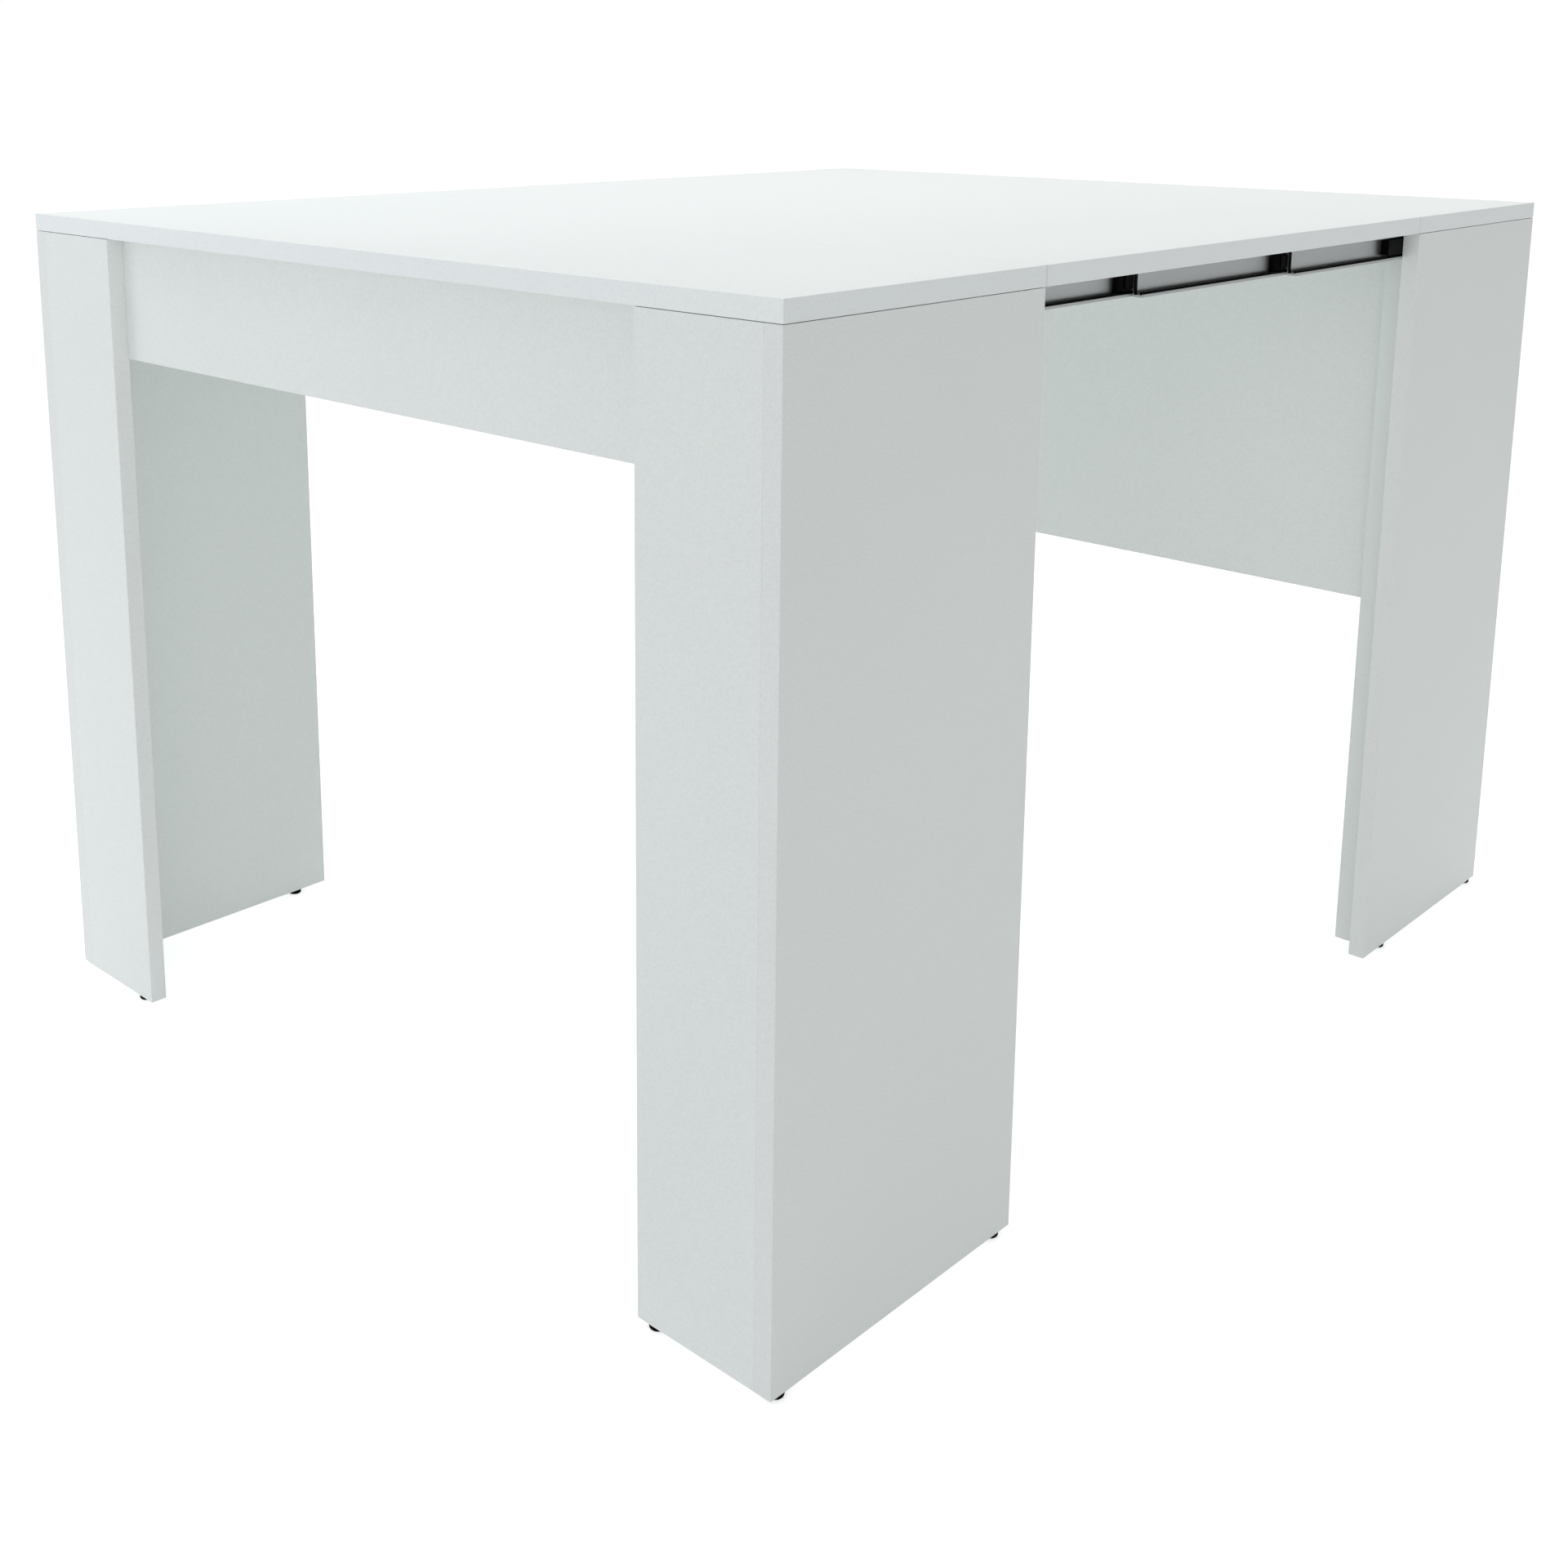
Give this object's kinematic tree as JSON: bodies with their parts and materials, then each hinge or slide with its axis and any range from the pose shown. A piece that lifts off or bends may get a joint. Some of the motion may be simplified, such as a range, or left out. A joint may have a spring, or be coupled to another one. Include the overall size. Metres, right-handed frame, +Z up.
{
  "type": "extendable console table",
  "caption": "White console table on panel legs, drawn part of the way out on nested telescopic metal rails, with an extension leaf lying between its halves.",
  "frame": {"origin": "on the floor, under the middle of the table as it stands, part of the way open", "axes": "+Y along the way the far half slides out, +X across the table, +Z up"},
  "size_m": [0.9, 1.1474, 0.733],
  "materials": {
    "white_board": "white melamine on particle board, satin",
    "anodised_aluminium": "extruded and anodised, satin",
    "zinc_plated_steel": "zinc plated",
    "black_plastic": "moulded, matt",
    "beech": "raw turned beech"
  },
  "bodies": {
    "near_half": {"near_top": "white_board", "near_side_panel_left": "white_board", "near_side_panel_right": "white_board", "near_leg_panel_left": "white_board", "near_leg_panel_right": "white_board", "near_apron": "white_board", "near_floor_glides": "black_plastic", "near_cams": "zinc_plated_steel", "near_cam_bolts": "zinc_plated_steel", "near_dowels": "beech", "near_top_brackets": "zinc_plated_steel", "near_rail_brackets": "zinc_plated_steel", "near_screws": "zinc_plated_steel", "rail_1_left": "anodised_aluminium", "rail_1_right": "anodised_aluminium", "travel_stops_1": "black_plastic", "slide_strips_1": "black_plastic"},
    "rails_2": {"rail_2_left": "anodised_aluminium", "rail_2_right": "anodised_aluminium", "end_glides_2": "black_plastic", "travel_stops_2": "black_plastic", "slide_strips_2": "black_plastic"},
    "rails_3": {"rail_3_left": "anodised_aluminium", "rail_3_right": "anodised_aluminium", "end_glides_3": "black_plastic", "travel_stops_3": "black_plastic", "slide_strips_3": "black_plastic"},
    "rails_4": {"rail_4_left": "anodised_aluminium", "rail_4_right": "anodised_aluminium", "end_glides_4": "black_plastic", "travel_stops_4": "black_plastic", "slide_strips_4": "black_plastic"},
    "rails_5": {"rail_5_left": "anodised_aluminium", "rail_5_right": "anodised_aluminium", "end_glides_5": "black_plastic", "travel_stops_5": "black_plastic", "slide_strips_5": "black_plastic"},
    "far_half": {"far_top": "white_board", "far_side_panel_left": "white_board", "far_side_panel_right": "white_board", "far_leg_panel_left": "white_board", "far_leg_panel_right": "white_board", "far_apron": "white_board", "far_floor_glides": "black_plastic", "far_cams": "zinc_plated_steel", "far_cam_bolts": "zinc_plated_steel", "far_dowels": "beech", "far_top_brackets": "zinc_plated_steel", "far_rail_spacers": "black_plastic", "far_screws": "zinc_plated_steel", "cross_panel": "white_board", "inner_post_left": "white_board", "inner_post_right": "white_board", "rail_6_left": "anodised_aluminium", "rail_6_right": "anodised_aluminium", "end_glides_6": "black_plastic", "slide_strips_6": "black_plastic"},
    "leaf": {"leaf": "white_board"}
  },
  "joints": [
    {"name": "far_half_slide", "type": "slide", "parent": "near_half", "child": "far_half", "axis": [0, 1, 0], "range_m": [0, 1.2064]},
    {"name": "rails_2_slide", "type": "slide", "parent": "near_half", "child": "rails_2", "axis": [0, 1, 0], "range_m": [0, 0.2926]},
    {"name": "rails_3_slide", "type": "slide", "parent": "near_half", "child": "rails_3", "axis": [0, 1, 0], "range_m": [0, 0.5785]},
    {"name": "rails_4_slide", "type": "slide", "parent": "near_half", "child": "rails_4", "axis": [0, 1, 0], "range_m": [0, 0.8645]},
    {"name": "rails_5_slide", "type": "slide", "parent": "near_half", "child": "rails_5", "axis": [0, 1, 0], "range_m": [0, 1.0655]},
    {"name": "leaf_lift", "type": "slide", "parent": "near_half", "child": "leaf", "axis": [0, 0, 1], "range_m": [0, 0.25]}
  ],
  "couplings": [
    {"joint": "rails_2_slide", "follows": "far_half_slide", "ratio": 0.24233},
    {"joint": "rails_3_slide", "follows": "far_half_slide", "ratio": 0.47938},
    {"joint": "rails_4_slide", "follows": "far_half_slide", "ratio": 0.71642},
    {"joint": "rails_5_slide", "follows": "far_half_slide", "ratio": 0.88308}
  ]
}
